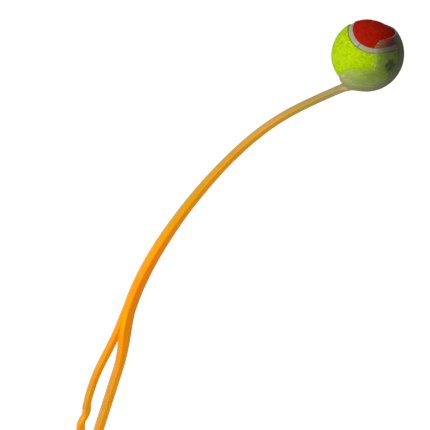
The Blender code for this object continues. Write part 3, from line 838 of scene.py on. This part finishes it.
def makeFelt(name, side, seed):
    # one dumbbell-shaped panel with a napped, slightly uneven surface
    rows = feltRows(side)
    flat = rows.reshape(-1, 3) @ ballMatrix().T
    way = unit(flat)
    outer = np.linalg.norm(flat, axis=1) > place["ballRadius"] - ball["shoulder"]
    nap = swellAt(way)
    for step, (height, size) in enumerate((ball["napFine"], ball["napCoarse"])):
        nap += height * waveNoise(flat, size, seed + step)
    flat = place["ballCentre"] + flat + way * (nap * outer)[:, None]
    mesh = cleaned(meshFrom(name, flat, gridFaces(*rows.shape[:2])), ball["mergeGap"])
    item = newObject(name, mesh)

    # fibre roots spread evenly over the panel's own outer faces
    random = np.random.default_rng(seed + 2)
    centres, areas = np.empty(len(mesh.polygons) * 3), np.empty(len(mesh.polygons))
    mesh.polygons.foreach_get("center", centres)
    mesh.polygons.foreach_get("area", areas)
    centres = centres.reshape(-1, 3)
    fromCentre = np.linalg.norm(centres - place["ballCentre"], axis=1)
    odds = areas * (fromCentre > place["ballRadius"] - fibre["rootDepth"])
    picked = random.choice(len(areas), fibre["count"], p=odds / odds.sum())
    roots = centres[picked] + random.normal(size=(fibre["count"], 3)) * fibre["scatter"]
    normals = unit(roots - place["ballCentre"])
    roots = place["ballCentre"] + normals * (place["ballRadius"] + swellAt(normals))[:, None]
    fuzz = fibreMesh(roots, normals, seed + 3)
    joined(mesh, fuzz)
    bpy.data.meshes.remove(fuzz)
    directions = unit(pointsOf(smoothed(mesh)) - place["ballCentre"])
    setValues(mesh, print=pawPrint(directions) if side > 0 else np.zeros(len(directions)))
    return item


def makeSeamBand():
    # a crowned strip with rounded shoulders, run along the seam between its two ends
    gap = seam["gap"] / place["ballRadius"]
    t = turn * seam["jointTurn"] + np.linspace(gap / 2, turn - gap / 2, seam["rows"])
    point, across = seamFrame(t)
    top = place["ballRadius"] - seam["drop"]
    v = np.linspace(-1, 1, seam["columns"])
    pastFlat = np.clip((np.abs(v) - seam["flatShare"]) / (1 - seam["flatShare"]), 0, 1)
    crown = top - seam["crown"] * np.abs(v) ** seam["crownPower"] - seam["shoulder"] * pastFlat ** 2
    half = seam["width"] / 2 / top
    angle = np.concatenate([v * half, [half, 0, -half]])
    radius = np.concatenate([crown, np.full(3, place["feltInner"])])
    ways = np.cos(angle)[:, None] * point[:, None] + np.sin(angle)[:, None] * across[:, None]
    return loftObject("seamBand", place["ballCentre"] + radius[:, None] * ways @ ballMatrix().T)


# Materials


class Nodes:
    # a small helper that adds and joins shader nodes of one material
    def __init__(self, name):
        self.material = bpy.data.materials.new(name)
        self.material.use_nodes = True
        self.tree = self.material.node_tree
        self.shader = self.tree.nodes["Principled BSDF"]
        self.spots = self.add("ShaderNodeTexCoord").outputs["Object"]

    def add(self, kind, **settings):
        node = self.tree.nodes.new(kind)
        for key, value in settings.items():
            setattr(node, key, value)
        return node

    def fill(self, sockets, values):
        # gives each socket a link, a colour or a number
        for socket, value in zip(sockets, values):
            if isinstance(value, bpy.types.NodeSocket):
                self.tree.links.new(value, socket)
            else:
                socket.default_value = (*value, 1) if isinstance(value, tuple) else value

    def settle(self, node, values):
        # the same for a node's inputs by name, and gives back its first output
        self.fill([node.inputs[name] for name in values], values.values())
        return node.outputs[0]

    def attribute(self, name):
        return self.add("ShaderNodeAttribute", attribute_name=name).outputs["Fac"]

    def noise(self, size, detail):
        # noise of about the given feature size in metres
        node = self.add("ShaderNodeTexNoise")
        self.settle(node, {"Scale": 1 / size, "Detail": detail, "Vector": self.spots})
        return node.outputs["Fac"]

    def ramp(self, value, stops):
        # a colour or grey for each place of a value
        node = self.add("ShaderNodeValToRGB")
        elements = node.color_ramp.elements
        elements[0].position, elements[1].position = stops[0][0], stops[-1][0]
        for spot, _ in stops[1:-1]:
            elements.new(spot)
        for spot, colour in stops:
            element = min(elements, key=lambda one: abs(one.position - spot))
            element.color = (*colour, 1) if isinstance(colour, tuple) else (colour, colour, colour, 1)
        self.tree.links.new(value, node.inputs["Fac"])
        return node.outputs["Color"]

    def colourMix(self, factor, low, high, blend="MIX"):
        node = self.add("ShaderNodeMix", data_type="RGBA", blend_type=blend)
        self.fill((node.inputs[0], node.inputs[6], node.inputs[7]), (factor, low, high))
        return node.outputs[2]

    def maths(self, operation, a, b):
        node = self.add("ShaderNodeMath", operation=operation)
        self.fill(node.inputs, (a, b))
        return node.outputs[0]

    def bump(self, height, depth, strength):
        # relief of the given depth in metres
        node = self.add("ShaderNodeBump")
        relief = self.settle(node, {"Strength": strength, "Distance": depth, "Height": height})
        self.settle(self.shader, {"Normal": relief})


# Base colours along the moulding, from the butt to the cup, set against the photograph: the turn to tan near
# the cup is the plastic's own, but the split between the sides is painted light and shade: the outer side
# faces the key lamp and has the darker ones with a painted tan sheen, the shaded inner side the brighter ones
tonesWithPaintedLight = {
    "outer": ((0.14, (0.68, 0.26, 0.01)), (0.21, (0.53, 0.262, 0.025)), (0.32, (0.70, 0.255, 0.003)),
              (0.46, (0.88, 0.262, 0.001)), (0.58, (0.60, 0.262, 0.002)), (0.68, (0.53, 0.258, 0.004)),
              (0.78, (0.54, 0.262, 0.016)), (0.87, (0.53, 0.29, 0.045)), (0.95, (0.39, 0.26, 0.06)),
              (1.0, (0.37, 0.27, 0.09))),
    "inner": ((0.12, (1.0, 0.39, 0.002)), (0.32, (1.0, 0.33, 0.001)), (0.46, (1.0, 0.26, 0.001)),
              (0.58, (1.0, 0.295, 0.001)), (0.68, (0.95, 0.326, 0.002)), (0.78, (0.87, 0.325, 0.007)),
              (0.87, (0.76, 0.345, 0.019)), (0.95, (0.56, 0.34, 0.04)), (0.985, (0.44, 0.32, 0.09)),
              (1.0, (0.42, 0.34, 0.14))),
}


def mouldedToneWithPaintedLight(m):
    # the colour at each place along the moulding, on its outer or its inner side, whose difference is painted
    # light and shade
    along = m.attribute("along")
    return m.colourMix(m.attribute("outer"), m.ramp(along, tonesWithPaintedLight["inner"]), m.ramp(along, tonesWithPaintedLight["outer"]))


def orangePlastic():
    # satin moulded plastic, orange on the handle and tan where the clear plastic takes over, with painted
    # light and shade between its outer and inner sides
    m = Nodes("orangePlastic")
    cloud = m.ramp(m.noise(14 * mm, 4), ((0.3, 0.93), (0.7, 1.0)))
    m.settle(m.shader, {
        "Base Color": m.colourMix(1.0, mouldedToneWithPaintedLight(m), cloud, "MULTIPLY"),
        "Roughness": m.ramp(m.noise(2.5 * mm, 5), ((0.3, 0.32), (0.7, 0.46))),
        "Specular IOR Level": 0.05,
        "Specular Tint": (1.0, 0.6, 0.2),
    })
    m.bump(m.noise(0.8 * mm, 4), 0.02 * mm, 0.5)
    return m.material


# The cup's colours and body by place, from its left to its right, set in the same way, paler at the left and
# darker and denser to the right as painted light and shade, its limb by how edge-on it is seen, then single
# tints and shares
smokeWithPaintedShade = {
    "plain": ((0.1, (0.56, 0.56, 0.30)), (0.45, (0.46, 0.50, 0.17)), (0.8, (0.06, 0.065, 0.07))),
    "misted": ((0.1, (0.66, 0.72, 0.30)), (0.54, (0.52, 0.56, 0.30)), (0.85, (0.38, 0.40, 0.30))),
    "edgeOn": ((0.1, (0.30, 0.34, 0.12)), (0.4, (0.24, 0.27, 0.09)), (0.54, (0.21, 0.235, 0.10)),
               (0.68, (0.17, 0.185, 0.095)), (0.81, (0.14, 0.15, 0.08)), (0.92, (0.12, 0.13, 0.075)),
               (0.98, (0.11, 0.115, 0.075))),
    "body": ((0.1, 0.13), (0.5, 0.12), (0.85, 0.24)),
    "limb": ((0.18, 0.0), (0.30, 0.2), (0.38, 0.6), (0.44, 0.93), (0.50, 1.0)),
    "limbBlend": 0.35,
    "milk": (0.32, 0.35, 0.13),
    "rim": (0.26, 0.25, 0.21),
    "veilTint": 0.85,
    "rimTint": 0.7,
    "veilSolid": 0.16,
    "limbSolid": 0.93,
    "milkSolid": 0.6,
    "rimSolid": 0.3,
    "tangSolid": 0.97,
}


def smokyPlasticWithPaintedShade():
    # clear smoky plastic: milky towards the neck, denser seen edge on, paler at its left as painted light and
    # darker to the right as painted shade
    m = Nodes("smokyPlasticWithPaintedShade")
    split = m.add("ShaderNodeSeparateXYZ")
    m.fill(split.inputs, (m.spots,))
    centre, reach = place["cupCentre"][0], cup["inner"]
    across = m.settle(m.add("ShaderNodeMapRange"), {
        "Value": split.outputs["X"], "From Min": centre - reach, "From Max": centre + reach})
    weight = m.add("ShaderNodeLayerWeight")
    weight.inputs["Blend"].default_value = smokeWithPaintedShade["limbBlend"]
    limb = m.ramp(weight.outputs["Facing"], smokeWithPaintedShade["limb"])
    veil, milk, rim, tang, flow = (m.attribute(name) for name in ("veil", "milk", "rim", "tang", "flow"))

    # colour: the later ones cover the earlier ones
    # these tints run from painted light on the left to painted shade on the right
    plain, misted, edgeOn = (m.ramp(across, smokeWithPaintedShade[name]) for name in ("plain", "misted", "edgeOn"))
    tint = m.colourMix(m.maths("MULTIPLY", veil, smokeWithPaintedShade["veilTint"]), plain, misted)
    tint = m.colourMix(limb, tint, edgeOn)
    flowing = m.colourMix(flow, mouldedToneWithPaintedLight(m), smokeWithPaintedShade["milk"])
    tint = m.colourMix(milk, tint, flowing)
    tint = m.colourMix(m.maths("MULTIPLY", rim, smokeWithPaintedShade["rimTint"]), tint, smokeWithPaintedShade["rim"])

    # alpha: the most solid of all that is there
    veiled = m.maths("MULTIPLY", veil, smokeWithPaintedShade["veilSolid"])
    # the body grows denser to the right as part of the painted shade
    solid = m.maths("ADD", m.ramp(across, smokeWithPaintedShade["body"]), veiled)
    for part, share in ((limb, "limbSolid"), (milk, "milkSolid"), (rim, "rimSolid"), (tang, "tangSolid")):
        solid = m.maths("MAXIMUM", solid, m.maths("MULTIPLY", part, smokeWithPaintedShade[share]))
    m.settle(m.shader, {
        "Base Color": m.colourMix(tang, tint, flowing),
        "Alpha": solid,
        "Roughness": m.ramp(m.noise(6 * mm, 4), ((0.3, 0.10), (0.7, 0.16))),
        "Specular IOR Level": 0.0,
    })
    m.bump(m.noise(7 * mm, 2), 0.05 * mm, 0.3)
    m.material.surface_render_method = "BLENDED"
    return m.material


def feltCloth(name, dark, light, printed=None):
    # napped felt: mottled colour, fine tufts in relief and a soft sheen
    m = Nodes(name)
    clump, cloud = m.noise(2.2 * mm, 6), m.noise(9 * mm, 3)
    colour = m.colourMix(m.maths("MULTIPLY", m.maths("ADD", clump, cloud), 0.5), dark, light)
    colour = m.colourMix(1.0, colour, m.ramp(clump, ((0.35, 0.78), (0.62, 1.0))), "MULTIPLY")
    if printed:
        colour = m.colourMix(m.maths("MULTIPLY", m.attribute("print"), 0.93), colour, printed)
    m.settle(m.shader, {
        "Base Color": colour,
        "Roughness": 0.92,
        "Specular IOR Level": 0.06,
        "Sheen Weight": 0.1,
        "Sheen Roughness": 0.5,
        "Sheen Tint": light,
    })
    m.bump(m.noise(0.9 * mm, 5), 0.35 * mm, 0.8)
    return m.material


def rubber(name, dark, light, roughness):
    # dull rubber with a fine grain
    m = Nodes(name)
    m.settle(m.shader, {"Base Color": m.colourMix(m.noise(3 * mm, 5), dark, light), "Roughness": roughness})
    m.bump(m.noise(0.5 * mm, 4), 0.08 * mm, 0.6)
    return m.material


# Stage, lights and camera

stage = {
    "floorDrop": 58 * mm,
    "floorReach": 30.0,
    "floorGlow": 0.55,
    "skyLight": 0.3,
    "aim": (0.1, 0, 0.2),
    # place, size and power
    "lamps": {"key": ((-1.7, -1.2, 1.7), 1.2, 72), "fill": ((1.2, -2.2, 0.5), 1.6, 9)},
    "azimuth": math.radians(-4),
    "elevation": math.radians(21.5),
    "distance": 4.0,
    "frameShift": (-0.1368, -0.14445),
    "lens": 372.1,
    "sensor": 36,
    "farthest": 100,
}


def cameraFlag(tree):
    # 1 for the rays that show the background: seen straight, in gloss or through glass
    path = tree.nodes.new("ShaderNodeLightPath")
    value = path.outputs["Is Camera Ray"]
    for kind in ("Is Glossy Ray", "Is Transmission Ray"):
        node = tree.nodes.new("ShaderNodeMath")
        node.operation = "MAXIMUM"
        tree.links.new(value, node.inputs[0])
        tree.links.new(path.outputs[kind], node.inputs[1])
        value = node.outputs[0]
    return value


def makeFloor():
    # a wide pale plane that stays white where it is lit and keeps the shadow
    reach = stage["floorReach"]
    corners = [(x * reach, y * reach, -stage["floorDrop"]) for x, y in ((-1, -1), (1, -1), (1, 1), (-1, 1))]
    mesh = bpy.data.meshes.new("floor")
    mesh.from_pydata(corners, [], [(0, 1, 2, 3)])
    floor = bpy.data.objects.new("floor", mesh)
    bpy.context.scene.collection.objects.link(floor)
    m = Nodes("floorPaint")
    m.settle(m.shader, {
        "Base Color": (0.9, 0.9, 0.9),
        "Roughness": 0.9,
        "Specular IOR Level": 0.0,
        "Emission Color": (1, 1, 1),
        "Emission Strength": m.maths("MULTIPLY", cameraFlag(m.tree), stage["floorGlow"]),
    })
    mesh.materials.append(m.material)


def makeWorld():
    # white to the eye and to gloss, an even soft light to everything else
    world = bpy.data.worlds.new("studio")
    bpy.context.scene.world = world
    world.use_nodes = True
    tree = world.node_tree
    background = tree.nodes["Background"]
    background.inputs["Color"].default_value = (1, 1, 1, 1)
    strength = tree.nodes.new("ShaderNodeMapRange")
    strength.inputs["To Min"].default_value = stage["skyLight"]
    strength.inputs["To Max"].default_value = 1.0
    tree.links.new(cameraFlag(tree), strength.inputs["Value"])
    tree.links.new(strength.outputs["Result"], background.inputs["Strength"])


def standing(name, data, right, up, back, spot):
    # links a lamp or a camera at its spot, looking against its back vector
    made = bpy.data.objects.new(name, data)
    bpy.context.scene.collection.objects.link(made)
    matrix = np.eye(4)
    matrix[:3] = np.stack([right, up, back, spot], axis=1)
    made.matrix_world = Matrix(matrix.tolist())
    return made


def makeLamps():
    # square lamps that look at one point
    for name, (spot, size, power) in stage["lamps"].items():
        data = bpy.data.lights.new(name, "AREA")
        data.shape, data.size, data.energy = "SQUARE", size, power
        back = unit(np.array(spot) - np.array(stage["aim"]))
        right = unit(np.cross([0, 0, 1.0], back))
        standing(name, data, right, np.cross(back, right), back, spot)


def makeCamera():
    # looks along the photograph's direction, moved sideways so that the ball sits at its place
    azimuth, elevation = stage["azimuth"], stage["elevation"]
    level = np.array([math.sin(azimuth), -math.cos(azimuth), 0])
    back = math.cos(elevation) * level + np.array([0, 0, math.sin(elevation)])
    right = np.array([math.cos(azimuth), math.sin(azimuth), 0])
    up = np.cross(back, right)
    shiftX, shiftY = stage["frameShift"]
    spot = place["ballCentre"] + back * stage["distance"] + right * shiftX + up * shiftY
    data = bpy.data.cameras.new("camera")
    data.lens, data.sensor_width, data.clip_end = stage["lens"], stage["sensor"], stage["farthest"]
    bpy.context.scene.camera = standing("camera", data, right, up, back, spot)


def dress(item, material, body, slot, *nodes):
    # one place for what every piece needs: its material, its body and the nodes it stands for; the slot is
    # not used
    item.data.materials.clear()
    item.data.materials.append(material)
    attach(item, body)
    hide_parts(*nodes)


makeCamera()
makeFloor()
makeWorld()
makeLamps()
print("stage ready")

dress(makeHandleStem(), orangePlastic(), "thrower", "orange_plastic", "handle_stem")
print("stem ready")
dress(makeBallCup(), smokyPlasticWithPaintedShade(), "thrower", "smoke_plastic", "ball_cup")
print("cup ready")
yellow = feltCloth("yellowFelt", (0.27, 0.42, 0.0002), (0.46, 0.66, 0.0004), (0.03, 0.04, 0.045))
red = feltCloth("redFelt", (0.28, 0.002, 0.0002), (0.46, 0.013, 0.0004))
dress(makeFelt("feltYellow", 1, 11), yellow, "ball", "yellow_felt", "felt_panel_yellow")
dress(makeFelt("feltRed", -1, 31), red, "ball", "red_felt", "felt_panel_red")
seamRubber = rubber("seamRubber", (0.23, 0.215, 0.145), (0.33, 0.31, 0.225), 0.8)
dress(makeSeamBand(), seamRubber, "ball", "seam_rubber", "seam_strip")
coreRubber = rubber("coreRubber", (0.07, 0.07, 0.06), (0.11, 0.11, 0.1), 0.7)
for name in ("core_half_a", "core_half_b"):
    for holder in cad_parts[name].material_slots:
        holder.material = coreRubber
print("ball ready")

bpy.context.scene.view_settings.view_transform = "Standard"
